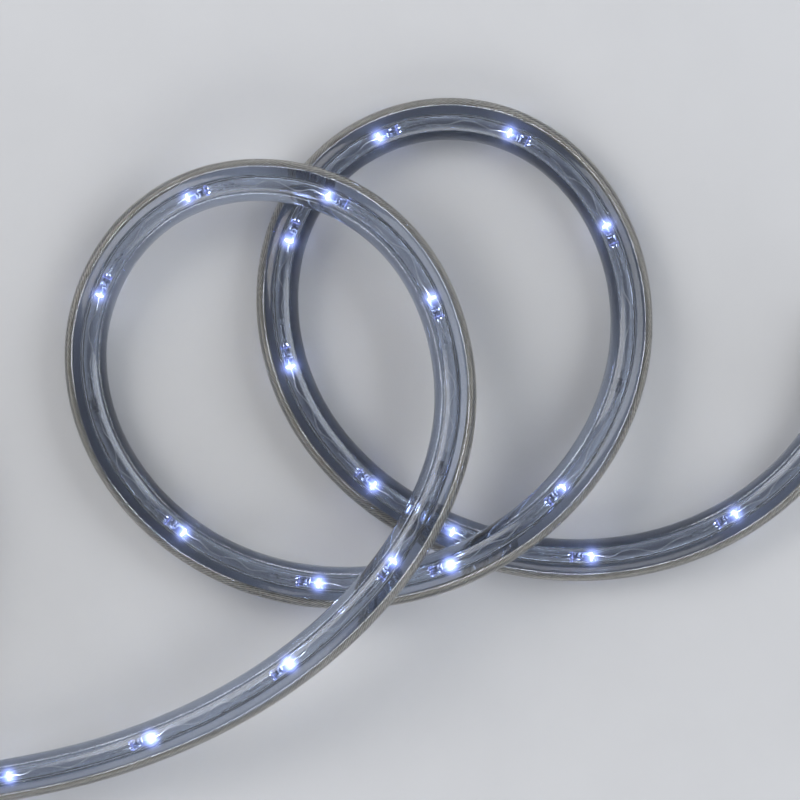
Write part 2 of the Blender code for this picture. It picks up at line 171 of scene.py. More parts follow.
# Leads behind a diode, drawn together towards the solder at their ends
LEAD_HALF = 0.22 * MM
LEAD_RADIUS = 1.15 * LEAD_HALF
LEAD_A_LENGTH = 9.4 * MM
LEAD_B_LENGTH = 7.6 * MM
LEADS_GATHER = 0.72
SOLDER_RADIUS = 0.42 * MM
SOLDER_SPAN = (-1.1 * MM, 1.3 * MM)

# Link wires: how far beside a diode each passes, and the least and most of its waves, in millimetres
WIRE_RADIUS = 0.19 * MM
WIRE_BESIDE = 1.62 * MM
WIRE_FROM_END = 0.6 * MM
WIRE_LEAVES = 7 * MM
WIRE_JOINS = 8 * MM
WIRE_WAVES = ((13, 22), (9, 15))
WIRE_SWING = (0.75, 1.1)

# How finely the pieces are divided: from one ring to the next along the rope, and the sides round a section
SHEATH_STEP = 3.0 * MM
STRAND_STEP = 1.0 * MM
WIRE_STEP = 1.2 * MM
LEAD_RINGS = 9
SHEATH_SIDES = 48
BORE_SIDES = 24
WIRE_SIDES = 8
LEAD_SIDES = 6
SOLDER_SIDES = 10
LENS_SIDES = 28
CUP_SIDES = 20
CAP_SIDES = 64
INLET_SIDES = 120
PIN_SIDES = 28

# Edges that turn by more than this are shaded sharp: the fittings', the ties' bands' and their heads'
FITTING_SHARP = math.radians(40)
BAND_SHARP = math.radians(50)
HEAD_SHARP = math.radians(35)

# The conductors' strands: how many, a turn's length, a crest's radius, and its share at a flank and a groove
STRANDS = 7
STRAND_LAY = 9.5 * MM
STRAND_CREST = 0.95 * MM
STRAND_FLANK = 0.93
STRAND_GROOVE = 0.68

# How quickly the clear PVC darkens with depth, for each metre
PVC_DEPTH = 145.0

# How strongly a lit diode's tip and chip glow: the tip's glow is painted light in the epoxy, the chip's is its
# own
PAINTED_TIP_GLOW = 45.0
CHIP_GLOW = 1.2

# The halo round a lit diode: the least brightness, how many pixels, and its strength in each colour
HALO_FROM = 8.0
HALO_REACH = 12
HALO_COLOUR = (0.7, 0.8, 1.5, 1.0)

# Surround: the sine of the elevation, then the colour. A bright strip lies low, all the way round.
DIM = (0.03, 0.036, 0.05)
STRIP = (11.0, 11.4, 12.4)
SURROUND = (
    (0.0, DIM), (0.095, DIM), (0.105, STRIP), (0.175, STRIP), (0.185, DIM), (0.4, (0.08, 0.09, 0.11)),
    (1.0, (0.24, 0.25, 0.27)),
)

# Soft boxes: name, place, size, power and colour
SOFT_BOXES = (
    ("soft_box_left", (-1.3, 0.8, 1.3), (1.5, 1.1), 16.0, (1.0, 0.98, 0.95)),
    ("soft_box_right", (1.4, 0.5, 1.2), (1.3, 1.0), 12.0, (0.94, 0.97, 1.0)),
    ("soft_box_front", (0.1, -1.5, 1.1), (1.6, 0.8), 8.0, (1.0, 1.0, 1.0)),
)
LIGHTS_AIM = (0.05, 0.0, 0.0)
FLOOR_SIZE = 12.0

rng = random.Random(7)


def millimetres(*values):
    return tuple(value * MM for value in values)


def coil_place(turn, radius, height):
    """A point of the coil, so many turns back from where the rope leaves its outer turn."""
    angle = -math.pi / 2 - 2 * math.pi * turn
    centre = COIL_CENTRE + VIEW_CENTRE
    return (centre.x + radius * math.cos(angle), centre.y + radius * math.sin(angle), height)


def coil_radius(turn):
    return COIL_INNER_RADIUS + COIL_PITCH * (COIL_TURNS - turn)


def coil_points():
    """From the capped end on top of the coil, down to the floor and out to where the rope leaves the coil."""
    level = SHEATH_RADIUS + COIL_LIFT
    points = []
    for past, radius, rise in reversed(TOP_END):
        points.append(coil_place(COIL_TURNS + past, radius * MM, level + rise * MM))
    count = round(COIL_TURNS * POINTS_A_TURN)
    for i in range(count, -1, -1):
        turn = COIL_TURNS * i / count
        points.append(coil_place(turn, coil_radius(turn), level))
    return points


def smooth_curve(points, step=0.5 * MM):
    """A natural cubic spline through the points, read at close steps."""
    knots = np.array(points, float)
    run = np.concatenate([[0.0], np.cumsum(np.linalg.norm(np.diff(knots, axis=0), axis=1))])
    span = np.diff(run)
    size = len(knots)
    system = np.eye(size)
    load = np.zeros((size, 3))
    for i in range(1, size - 1):
        system[i, i - 1 : i + 2] = (span[i - 1], 2 * (span[i - 1] + span[i]), span[i])
        load[i] = 6 * ((knots[i + 1] - knots[i]) / span[i] - (knots[i] - knots[i - 1]) / span[i - 1])
    bend = np.linalg.solve(system, load)
    along = np.linspace(0.0, run[-1], int(run[-1] / step) + 1)
    k = np.clip(np.searchsorted(run, along, side="right") - 1, 0, size - 2)
    b = ((along - run[k]) / span[k])[:, None]
    a = 1 - b
    square = (span[k] ** 2)[:, None] / 6
    return a * knots[k] + b * knots[k + 1] + ((a**3 - a) * bend[k] + (b**3 - b) * bend[k + 1]) * square


def unit(rows):
    return rows / np.linalg.norm(rows, axis=1, keepdims=True)


class Rope:
    """The rope's axis, read by the distance along it from the capped end."""

    def __init__(self):
        rows = [(x * MM + VIEW_CENTRE.x, y * MM + VIEW_CENTRE.y, z * MM) for x, y, z in ROUTE]
        self.line = smooth_curve(coil_points() + rows)
        steps = np.diff(self.line, axis=0)
        self.along = np.concatenate([[0.0], np.cumsum(np.linalg.norm(steps, axis=1))])
        self.plan = np.concatenate([[0.0], np.cumsum(np.linalg.norm(steps[:, :2], axis=1))])
        edge = np.argmin(np.linalg.norm(self.line - np.array(rows[VIEW_EDGE_ROW]), axis=1))
        self.plan -= self.plan[edge]
        self.length = float(self.along[-1])
        self.way = unit(np.gradient(self.line, self.along, axis=0))
        flat = unit(np.cross(self.way, (0.0, 0.0, 1.0)))
        roll = np.zeros((len(self.along), 1))
        for degrees, cycle, start in ROLLS:
            roll[:, 0] += math.radians(degrees) * np.sin(2 * math.pi * self.along / cycle + start)
        self.side = flat * np.cos(roll) + np.cross(flat, self.way) * np.sin(roll)

    def from_plan(self, distance):
        return float(np.interp(distance, self.plan, self.along))

    def read(self, rows, distance):
        return np.stack([np.interp(distance, self.along, rows[:, axis]) for axis in range(3)], axis=-1)

    def frames(self, distance):
        """Points on the axis, and the side, up and onward vectors, at the distances."""
        distance = np.atleast_1d(distance)
        way = unit(self.read(self.way, distance))
        side = unit(self.read(self.side, distance))
        return self.read(self.line, distance), side, np.cross(side, way), way


class Shape:
    """Vertices, faces and texture places of a piece, gathered before its mesh is made."""

    def __init__(self):
        self.points = []
        self.faces = []
        self.places = []
        self.size = 0

    def add(self, points, faces, places=None):
        points = np.asarray(points, float).reshape(-1, 3)
        self.points.append(points)
        self.faces += [[i + self.size for i in face] for face in faces]
        self.places += places if places is not None else [[(0.0, 0.0)] * len(face) for face in faces]
        self.size += len(points)

    def mesh(self, name):
        made = bpy.data.meshes.new(name)
        made.from_pydata(np.concatenate(self.points).tolist(), [], self.faces)
        layer = made.uv_layers.new(name="places")
        flat = np.array([value for face in self.places for pair in face for value in pair], np.float32)
        layer.data.foreach_set("uv", flat)
        made.update()
        made.shade_smooth()
        return made


def quads(rings, sides):
    """Faces between each ring of vertices and the next, with their places: round, then along."""
    faces = []
    places = []
    for i in range(rings - 1):
        for j in range(sides):
            k = (j + 1) % sides
            faces.append([i * sides + j, (i + 1) * sides + j, (i + 1) * sides + k, i * sides + k])
            places.append([(j, i), (j, i + 1), (j + 1, i + 1), (j + 1, i)])
    return faces, places


def sweep(shape, rope, distance, outward, upward, radius, sides, twist=None, profile=None, capped=True):
    """A tube along the rope, beside its axis. The profile scales the radius round the section."""
    turn = np.arange(sides) / sides * 2 * math.pi - math.pi / 2
    spin = np.zeros(len(distance)) if twist is None else twist
    angle = turn[None, :] + spin[:, None]
    reach = np.reshape(radius, (-1, 1)) * (np.ones(sides) if profile is None else profile)[None, :]
    at, side, up, _ = rope.frames(distance)
    u = np.reshape(outward, (-1, 1)) + reach * np.cos(angle)
    v = np.reshape(upward, (-1, 1)) + reach * np.sin(angle)
    points = at[:, None, :] + side[:, None, :] * u[:, :, None] + up[:, None, :] * v[:, :, None]
    rings = len(distance)
    faces, places = quads(rings, sides)
    places = [[(j / sides, distance[i]) for j, i in spot] for spot in places]
    if capped:
        first = list(range(sides))
        last = [(rings - 1) * sides + j for j in reversed(range(sides))]
        faces += [first, last]
        places += [[(0.0, 0.0)] * sides] * 2
    shape.add(points, faces, places)


def lathe(profile, sides, ripple=None):
    """A closed shape turned about Z, from a profile of (radius, height) that starts and ends on the axis."""
    shape = Shape()
    inner = profile[1:-1]
    points = [(0.0, 0.0, profile[0][1])]
    for radius, height in inner:
        for j in range(sides):
            angle = 2 * math.pi * j / sides
            reach = radius if ripple is None else ripple(radius, height, angle)
            points.append((reach * math.cos(angle), reach * math.sin(angle), height))
    points.append((0.0, 0.0, profile[-1][1]))
    end = len(points) - 1
    faces = []
    for j in range(sides):
        k = (j + 1) % sides
        faces.append([0, 1 + k, 1 + j])
        for i in range(len(inner) - 1):
            a = 1 + i * sides
            b = a + sides
            faces.append([a + j, a + k, b + k, b + j])
        last = 1 + (len(inner) - 1) * sides
        faces.append([last + j, last + k, end])
    shape.add(points, faces)
    return shape


def arc(radius, height, size, start, stop, steps=5):
    """Profile points round a corner, angles in degrees from outward towards up."""
    found = []
    for i in range(steps + 1):
        angle = math.radians(start + (stop - start) * i / steps)
        found.append((radius + size * math.cos(angle), height + size * math.sin(angle)))
    return found


def piece(name, mesh, surface, replaced=(), place=None):
    """An object with that mesh and material, riding on the part."""
    made = bpy.data.objects.new(name, mesh)
    bpy.context.scene.collection.objects.link(made)
    if surface is not None and not mesh.materials:
        mesh.materials.append(surface)
    if place is not None:
        made.matrix_world = place
    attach(made, "root")
    if replaced:
        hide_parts(*replaced)
    return made


def fill_ramp(node, stops):
    row = node.color_ramp.elements
    while len(row) < len(stops):
        row.new(0.5)
    for element, (place, colour) in zip(row, stops):
        element.position = place
        element.color = (*colour, 1.0)


class Surface:
    """A Principled material and a short way to add nodes to it."""

    def __init__(self, name, colour, roughness, **values):
        self.material = bpy.data.materials.new(name)
        self.material.use_nodes = True
        self.tree = self.material.node_tree
        self.shader = self.tree.nodes["Principled BSDF"]
        self.shader.inputs["Base Color"].default_value = (*colour, 1.0)
        self.shader.inputs["Roughness"].default_value = roughness
        for key, value in values.items():
            self.shader.inputs[key.replace("_", " ")].default_value = value

    def node(self, kind, **values):
        made = self.tree.nodes.new(kind)
        for key, value in values.items():
            name = key.replace("_", " ")
            if name in made.inputs:
                made.inputs[name].default_value = value
            else:
                setattr(made, key, value)
        return made

    def join(self, source, target):
        self.tree.links.new(source, target)

    def places(self, scale, kind="UV"):
        """Texture places, scaled."""
        found = self.node("ShaderNodeTexCoord")
        mapping = self.node("ShaderNodeMapping", Scale=scale)
        self.join(found.outputs[kind], mapping.inputs["Vector"])
        return mapping.outputs["Vector"]

    def noise(self, vector, scale, detail=3.0, roughness=0.5):
        made = self.node("ShaderNodeTexNoise", Scale=scale, Detail=detail, Roughness=roughness)
        self.join(vector, made.inputs["Vector"])
        return made.outputs["Fac"]

    def ramp(self, source, stops):
        made = self.node("ShaderNodeValToRGB")
        fill_ramp(made, stops)
        self.join(source, made.inputs["Fac"])
        return made.outputs["Color"]

    def spread(self, source, low, high):
        made = self.node("ShaderNodeMapRange")
        made.inputs["To Min"].default_value = low
        made.inputs["To Max"].default_value = high
        self.join(source, made.inputs["Value"])
        return made.outputs["Result"]

    def bump(self, source, strength, distance):
        made = self.node("ShaderNodeBump", Strength=strength, Distance=distance)
        self.join(source, made.inputs["Height"])
        self.join(made.outputs["Normal"], self.shader.inputs["Normal"])


def clear_pvc():
    """Clear extruded PVC: faint lengthwise lines from the die, and a slightly clouded skin."""
    made = Surface("clear_pvc", (0.94, 0.95, 0.965), 0.04, Transmission_Weight=1.0, IOR=1.53)
    lines = made.noise(made.places((38.0, 1.6, 1.0)), 1.0, 5.0, 0.68)
    cloud = made.noise(made.places((9.0, 55.0, 1.0)), 1.0, 4.0, 0.6)
    made.join(made.spread(cloud, 0.0, 0.035), made.shader.inputs["Roughness"])
    haze = made.noise(made.places((64.0, 3.0, 1.0)), 1.0, 5.0, 0.7)
    made.join(made.spread(haze, 0.93, 1.02), made.shader.inputs["Transmission Weight"])
    tint = made.ramp(lines, ((0.3, (0.88, 0.9, 0.93)), (0.62, (0.955, 0.96, 0.97))))
    made.join(tint, made.shader.inputs["Base Color"])
    made.bump(lines, 0.2, 0.1 * MM)
    depth = made.node("ShaderNodeVolumeAbsorption", Color=(0.37, 0.45, 0.59, 1.0), Density=PVC_DEPTH)
    made.join(depth.outputs["Volume"], made.tree.nodes["Material Output"].inputs["Volume"])
    return made.material


def tinned_strand():
    """Tinned copper strands, spotted, and dark in the grooves between them, from oxide and painted shade."""
    made = Surface("tinned_strand", (0.8, 0.76, 0.67), 0.32, Metallic=0.55)
    spots = made.noise(made.places((1.0, 1.0, 1.0), "Object"), 900.0, 4.0, 0.6)
    shade = ((0.3, (0.46, 0.4, 0.29)), (0.5, (0.7, 0.63, 0.49)), (0.7, (0.92, 0.86, 0.72)))
    spread = made.node("ShaderNodeSeparateXYZ")
    made.join(made.places((STRANDS, 1.0, 1.0)), spread.inputs["Vector"])
    across = made.node("ShaderNodeMath", operation="PINGPONG")
    across.inputs[1].default_value = 0.5
    made.join(spread.outputs["X"], across.inputs[0])
    # Painted shade with oxide: each strand darkens towards the grooves at its sides
    groove = made.ramp(across.outputs[0], ((0.22, (1.0, 1.0, 1.0)), (0.46, (0.22, 0.19, 0.15))))
    tone = made.node("ShaderNodeMix", data_type="RGBA", blend_type="MULTIPLY")
    tone.inputs[0].default_value = 1.0
    made.join(made.ramp(spots, shade), tone.inputs[6])
    made.join(groove, tone.inputs[7])
    made.join(tone.outputs[2], made.shader.inputs["Base Color"])
    made.join(made.spread(spots, 0.34, 0.52), made.shader.inputs["Roughness"])
    made.bump(spots, 0.3, 0.05 * MM)
    return made.material


def led_epoxy(lit):
    """Clear epoxy, glowing towards its tip where the diode is lit: a painted glow, and a painted blue tint on
    the lit copy.
    """
    name = "led_epoxy_lit" if lit else "led_epoxy_dark"
    # The lit copy's blue tint is painted: the diode's own light colouring the clear epoxy
    colour = (0.58, 0.65, 0.97) if lit else (0.93, 0.95, 1.0)
    made = Surface(name, colour, 0.06, Transmission_Weight=1.0, IOR=1.5)
    swirl = made.noise(made.places((1.0, 1.0, 1.0), "Object"), 700.0, 2.0)
    made.join(made.spread(swirl, 0.03, 0.12), made.shader.inputs["Roughness"])
    if lit:
        parts = made.node("ShaderNodeSeparateXYZ")
        made.join(made.places((1.0, 1.0, 1.0), "Generated"), parts.inputs["Vector"])
        # Painted glow along the lens by height: faint at its back, a band at the flange, bright at its tip
        back = (0.0004, 0.0005, 0.0015)
        flange = (0.009, 0.0102, 0.022)
        painted_glow = (
            (0.0, back), (0.09, back), (0.105, flange), (0.125, flange), (0.14, (0.0, 0.0, 0.0)),
            (0.74, (0.0002, 0.0002, 0.0007)), (0.86, (0.003, 0.0036, 0.014)), (0.91, (0.04, 0.046, 0.12)),
            (0.935, (0.72, 0.8, 1.0)),
        )
        made.join(made.ramp(parts.outputs["Z"], painted_glow), made.shader.inputs["Emission Color"])
        made.shader.inputs["Emission Strength"].default_value = PAINTED_TIP_GLOW
        made.material.cycles.emission_sampling = "NONE"
    return made.material


def led_chip(lit):
    """The chip with its phosphor, which glows faintly where the diode is lit; the lit copy's blue colour is
    painted light.
    """
    # The lit copy's blue colour is painted light over the phosphor's own yellow
    colour = (0.62, 0.7, 1.0) if lit else (0.75, 0.72, 0.35)
    made = Surface("led_chip_lit" if lit else "led_chip_dark", colour, 0.5)
    grain = made.noise(made.places((1.0, 1.0, 1.0), "Object"), 4000.0)
    made.join(made.spread(grain, 0.35, 0.6), made.shader.inputs["Roughness"])
    if lit:
        made.shader.inputs["Emission Color"].default_value = (0.6, 0.68, 1.0, 1.0)
        made.shader.inputs["Emission Strength"].default_value = CHIP_GLOW
        made.material.cycles.emission_sampling = "NONE"
    return made.material


def plated_metal(name, colour, roughness, metallic=1.0):
    """Metal with duller, darker spots."""
    made = Surface(name, colour, roughness, Metallic=metallic)
    dull = made.noise(made.places((1.0, 1.0, 1.0), "Object"), 1500.0, 4.0)
    dark = tuple(value * 0.75 for value in colour)
    made.join(made.ramp(dull, ((0.35, dark), (0.65, colour))), made.shader.inputs["Base Color"])
    made.join(made.spread(dull, roughness * 0.6, roughness * 1.4), made.shader.inputs["Roughness"])
    return made.material


def black_plastic():
    """Black moulded plastic with a fine grain and paler, worn high spots."""
    made = Surface("black_plastic", (0.02, 0.02, 0.022), 0.42)
    grain = made.noise(made.places((1.0, 1.0, 1.0), "Object"), 2600.0, 3.0, 0.6)
    wear = made.noise(made.places((1.0, 1.0, 1.0), "Object"), 140.0, 4.0, 0.6)
    shade = made.ramp(wear, ((0.35, (0.007, 0.007, 0.008)), (0.72, (0.022, 0.022, 0.025))))
    made.join(shade, made.shader.inputs["Base Color"])
    made.join(made.spread(wear, 0.34, 0.55), made.shader.inputs["Roughness"])
    made.bump(grain, 0.25, 0.06 * MM)
    return made.material


def pale_floor():
    made = Surface("pale_floor", (0.72, 0.72, 0.73), 0.6)
    mottle = made.noise(made.places((1.0, 1.0, 1.0), "Object"), 40.0, 5.0, 0.6)
    shade = made.ramp(mottle, ((0.3, (0.705, 0.705, 0.71)), (0.7, (0.72, 0.72, 0.725))))
    made.join(shade, made.shader.inputs["Base Color"])
    made.join(made.spread(mottle, 0.5, 0.7), made.shader.inputs["Roughness"])
    return made.material


def make_sheath(rope, surface):
    """The clear sheath with its bore, whole, from the capped end to the inlet."""
    rings = math.ceil(rope.length / SHEATH_STEP) + 1
    distance = np.linspace(0.0, rope.length, rings)
    shape = Shape()
    sweep(shape, rope, distance, 0.0, 0.0, SHEATH_RADIUS, SHEATH_SIDES, capped=False)
    bore = Shape()
    sweep(bore, rope, distance, -BORE_INWARD, 0.0, BORE_RADIUS, BORE_SIDES, capped=False)
    shape.add(bore.points[0], [face[::-1] for face in bore.faces], [spot[::-1] for spot in bore.places])
    first = rings * SHEATH_SIDES
    ends = []
    for ring in (0, rings - 1):
        for j in range(BORE_SIDES):
            k = (j + 1) % BORE_SIDES
            a, b = (first + ring * BORE_SIDES + n for n in (j, k))
            c, d, e = (ring * SHEATH_SIDES + (2 * j + n) % SHEATH_SIDES for n in range(3))
            for face in ((c, d, a), (d, b, a), (d, e, b)):
                ends.append(list(face) if ring == 0 else list(face)[::-1])
    shape.faces += ends
    shape.places += [[(0.0, 0.0)] * 3] * len(ends)
    mesh = shape.mesh("clear_sheath")
    made = piece("clear_sheath", mesh, surface, ("sheath", "spare_coil"))
    return made, rope.read(rope.line, distance)


def strand_profile():
    """Four points a strand: its crest, its flank, the groove and the next flank."""
    return np.array([1.0, STRAND_FLANK, STRAND_GROOVE, STRAND_FLANK] * STRANDS)


def make_conductors(rope, surface):
    """The two twisted conductors, from one end of the rope to the other."""
    rings = math.ceil(rope.length / STRAND_STEP) + 1
    distance = np.linspace(CONDUCTOR_FROM_END, rope.length - CONDUCTOR_FROM_END, rings)
    twist = distance / STRAND_LAY * 2 * math.pi
    for name, level in (("conductor_upper", CONDUCTOR_SPREAD), ("conductor_lower", -CONDUCTOR_SPREAD)):
        shape = Shape()
        profile = strand_profile()
        sweep(shape, rope, distance, CONDUCTOR_OUTWARD, level, STRAND_CREST, len(profile), twist, profile)
        piece(f"{name}_strands", shape.mesh(f"{name}_strands"), surface, (name,))


def lens_mesh():
    """A diode's clear body: flange with a flat, barrel and dome, its back at z = 0."""
    barrel = LED_LENGTH - LED_DOME
    profile = [(0.0, 0.0), (FLANGE_RADIUS - FLANGE_EDGE, 0.0), (FLANGE_RADIUS, FLANGE_EDGE)]
    profile += [(FLANGE_RADIUS, FLANGE_LENGTH - FLANGE_EDGE), (FLANGE_RADIUS - FLANGE_EDGE, FLANGE_LENGTH)]
    profile += [(LENS_RADIUS + 0.05 * MM, FLANGE_LENGTH + 0.02 * MM)]
    profile += [(LENS_RADIUS, FLANGE_LENGTH + 0.15 * MM), (LENS_RADIUS, (FLANGE_LENGTH + barrel) / 2)]
    profile += [(LENS_RADIUS, barrel)]
    for degrees in (15, 30, 45, 60, 75):
        angle = math.radians(degrees)
        profile.append((LENS_RADIUS * math.cos(angle), barrel + LED_DOME * math.sin(angle)))
    profile.append((0.0, LED_LENGTH))
    shape = lathe(profile, LENS_SIDES)
    points = shape.points[0]
    points[:, 1] = np.maximum(points[:, 1], -FLANGE_FLAT)
    return shape.mesh("led_lens")


def box_points(shape, low, high):
    """A closed box between two corners."""
    xs, ys, zs = zip(low, high)
    points = [(x, y, z) for x in xs for y in ys for z in zs]
    faces = [[0, 1, 3, 2], [4, 6, 7, 5], [0, 4, 5, 1], [2, 3, 7, 6], [0, 2, 6, 4], [1, 5, 7, 3]]
    shape.add(points, faces)


def frame_mesh():
    """The two posts inside a diode's body, and the block on one of them that carries the cup."""
    shape = Shape()
    for middle, top in zip((-POST_SPREAD, POST_SPREAD), POST_TOPS):
        box_points(shape, (middle - LEAD_HALF, -LEAD_HALF, POST_FOOT), (middle + LEAD_HALF, LEAD_HALF, top))
    box_points(shape, *(millimetres(*corner) for corner in BLOCK))
    cup = lathe([millimetres(*place) for place in CUP], CUP_SIDES)
    shape.add(cup.points[0] + np.array((CUP_ASIDE, 0.0, 0.0)), cup.faces)
    return shape.mesh("led_frame")


def chip_mesh():
    shape = Shape()
    box_points(shape, *(millimetres(*corner) for corner in CHIP))
    return shape.mesh("led_chip")


def eased(x, low, high):
    """From nothing at low to one at high, with soft ends."""
    t = np.clip((x - low) / (high - low), 0.0, 1.0)
    return t * t * (3 - 2 * t)


def make_leads(shape, rope, back, tilt):
    """A diode's two leads behind its flange."""
    for side, length in ((-1, LEAD_A_LENGTH), (1, LEAD_B_LENGTH)):
        distance = np.linspace(back - length, back + 0.2 * MM, LEAD_RINGS)
        gather = LEADS_GATHER + (1 - LEADS_GATHER) * eased(distance, back - length, back - 1.0 * MM)
        reach = side * POST_SPREAD * gather
        outward = -BORE_INWARD + reach * math.cos(tilt)
        upward = reach * math.sin(tilt)
        sweep(shape, rope, distance, outward, upward, LEAD_RADIUS, LEAD_SIDES)


def make_solder(shape, rope, back, tilt):
    """The solder where each of a diode's leads meets its wire."""
    for side, length in ((-1, LEAD_A_LENGTH), (1, LEAD_B_LENGTH)):
        low, high = (back - length + end for end in SOLDER_SPAN)
        distance = np.linspace(low, high, LEAD_RINGS)
        swell = np.sin(np.linspace(0.12, math.pi - 0.12, LEAD_RINGS)) ** 0.7
        reach = side * POST_SPREAD * LEADS_GATHER
        outward = -BORE_INWARD + reach * math.cos(tilt)
        sweep(shape, rope, distance, outward, reach * math.sin(tilt), SOLDER_RADIUS * swell, SOLDER_SIDES)


def make_link_wire(rope, start, stop, tilts):
    """A thin wire from one diode's solder, past that diode and loosely along the bore to the next solder."""
    shape = Shape()
    begin = max(start - LEAD_B_LENGTH - 0.6 * MM, WIRE_FROM_END)
    end = min(stop - LEAD_A_LENGTH + 0.4 * MM, rope.length - WIRE_FROM_END)
    distance = np.linspace(begin, end, max(8, math.ceil((end - begin) / WIRE_STEP)))
    reach = POST_SPREAD * LEADS_GATHER
    past = eased(distance, begin + 1.5 * MM, start - 0.6 * MM)
    free = eased(distance, start + LED_LENGTH + 0.3 * MM, start + LED_LENGTH + WIRE_LEAVES)
    join = eased(distance, end - WIRE_JOINS, end - 0.5 * MM)
    wave_a, wave_b = (rng.uniform(*span) * MM for span in WIRE_WAVES)
    phase_a, phase_b = (rng.uniform(0, 2 * math.pi) for _ in range(2))
    size = rng.uniform(*WIRE_SWING) * MM
    loose_u = size * np.sin(2 * math.pi * distance / wave_a + phase_a)
    loose_v = size * np.sin(2 * math.pi * distance / wave_b + phase_b)
    u = (1 - past) * reach * math.cos(tilts[0])
    v = (1 - past) * reach * math.sin(tilts[0]) - past * WIRE_BESIDE
    u = u * (1 - free) + loose_u * free
    v = v * (1 - free) + loose_v * free
    u = u * (1 - join) - reach * math.cos(tilts[1]) * join
    v = v * (1 - join) - reach * math.sin(tilts[1]) * join
    sweep(shape, rope, distance, u - BORE_INWARD, v, WIRE_RADIUS, WIRE_SIDES)
    return shape


def led_spots(rope):
    """Each diode's number and its back's distance along the rope. Numbers below one are in the coil."""
    tips = {number: rope.from_plan(place * MM) + LED_DOME for number, place in enumerate(LED_PLACES, 1)}
    number = 0
    tip = tips[1] - LED_PITCH
    while tip > LED_LENGTH + LEAD_A_LENGTH + SOCKET_DEPTH:
        tips[number] = tip
        number -= 1
        tip -= LED_PITCH
    return [(number, tips[number] - LED_LENGTH) for number in sorted(tips)]


def is_lit(number):
    """Whether a diode is lit as the photograph caught it. The pattern runs on into the coil."""
    return number % BLINK_EVERY != 0 or number in BLINKING_ON


def led_name(number):
    return f"led_{number:02d}" if number > 0 else f"coil_led_{1 - number:02d}"


def make_light_string(rope, surfaces):
    """Every diode with its frame, chip, leads and solder, and the wires between them."""
    spots = led_spots(rope)
    lens, frame, chip = lens_mesh(), frame_mesh(), chip_mesh()
    frame.materials.append(surfaces["post"])
    lens_of, chip_of = {}, {}
    for lit in (True, False):
        lens_of[lit] = lens.copy()
        lens_of[lit].materials.append(surfaces["epoxy", lit])
        chip_of[lit] = chip.copy()
        chip_of[lit].materials.append(surfaces["chip", lit])
    leads, solder = Shape(), Shape()
    tilts = {}
    for number, back in spots:
        lit = is_lit(number)
        name = led_name(number)
        tilts[number] = math.radians(rng.uniform(-35, 35))
        middle = back + LED_LENGTH / 2
        at, side, _, way = (Vector(rows[0]) for rows in rope.frames(middle))
        turn = Matrix((side, way.cross(side), way)).transposed()
        start = at - side * BORE_INWARD - way * LED_LENGTH / 2
        place = Matrix.Translation(start) @ turn.to_4x4()
        rolled = place @ Matrix.Rotation(-tilts[number], 4, "Z")
        replaced = (name,) if number > 0 else ()
        piece(f"{name}_lens", lens_of[lit], None, replaced, place)
        piece(f"{name}_frame", frame, None, (), rolled)
        piece(f"{name}_chip", chip_of[lit], None, (), rolled)
        make_leads(leads, rope, back, tilts[number])
        make_solder(solder, rope, back, tilts[number])
    piece("led_leads", leads.mesh("led_leads"), surfaces["lead"], ())
    piece("led_solder", solder.mesh("led_solder"), surfaces["solder"], ())
    for (number, back), (onward, next_back) in zip(spots, spots[1:]):
        shape = make_link_wire(rope, back, next_back, (tilts[number], tilts[onward]))
        name = f"link_wire_{number:02d}" if number > 0 else f"coil_link_wire_{1 - number:02d}"
        replaced = (name,) if number > 0 else ()
        piece(f"{name}_run", shape.mesh(f"{name}_run"), surfaces["wire"], replaced)
    first, last = spots[0], spots[-1]
    past_end = rope.length + LEAD_A_LENGTH + LED_PITCH
    for name, start, stop in (("tail_wire", -LED_PITCH, first[1]), ("feed_wire", last[1], past_end)):
        shape = make_link_wire(rope, start, stop, (tilts[last[0]], tilts[first[0]]))
        piece(f"{name}_run", shape.mesh(f"{name}_run"), surfaces["wire"], ())


def socket_place(rope_end, behind):
    """A fitting's frame: its mouth on the rope and its Z towards the rope's end, just clear of its floor."""
    way = (rope_end - behind).normalized()
    side = way.cross(Vector((0, 0, 1))).normalized()
    turn = Matrix((side, way.cross(side), way)).transposed().to_4x4()
    return Matrix.Translation(rope_end - way * (SOCKET_DEPTH - CLEARANCE)) @ turn


def end_place(rope, at_last):
    """The frame of the inlet, at the rope's last end, or of the cap, at its first."""
    lead = SOCKET_DEPTH + SOCKET_LEAD
    spots = (rope.length, rope.length - lead) if at_last else (0.0, lead)
    return socket_place(*(Vector(rope.read(rope.line, spot)) for spot in spots))


def make_end_cap(rope, surface):
    """A clear cap with a round shoulder and a socket that holds the rope's end."""
    wall = SHEATH_RADIUS + CLEARANCE
    profile = [(0.0, CAP_LENGTH)]
    profile += arc(CAP_RADIUS - 2 * EDGE, CAP_LENGTH - 2 * EDGE, 2 * EDGE, 90, 0, 8)
    profile += [(CAP_RADIUS, CAP_LENGTH / 2), (CAP_RADIUS, CAP_EDGE), (CAP_RADIUS - CAP_EDGE, 0.0)]
    profile += [(wall + LIP, 0.0), (wall, LIP), (wall, SOCKET_DEPTH - SOCKET_EDGE)]
    profile += [(wall - SOCKET_EDGE, SOCKET_DEPTH), (0.0, SOCKET_DEPTH)]
    shape = lathe(profile, CAP_SIDES)
    shape.faces = [face[::-1] for face in shape.faces]
    mesh = shape.mesh("end_cap_moulding")
    mesh.transform(end_place(rope, False))
    return piece("end_cap_moulding", mesh, surface, ("end_cap",))


def grip(radius, height, angle):
    """Shallow lengthwise flutes round the inlet's body."""
    if not FLUTES_FROM < height < FLUTES_TO or radius < INLET_RADIUS - EDGE / 4:
        return radius
    return radius - FLUTE_DEPTH * (0.5 - 0.5 * math.cos(FLUTES * angle)) ** 2


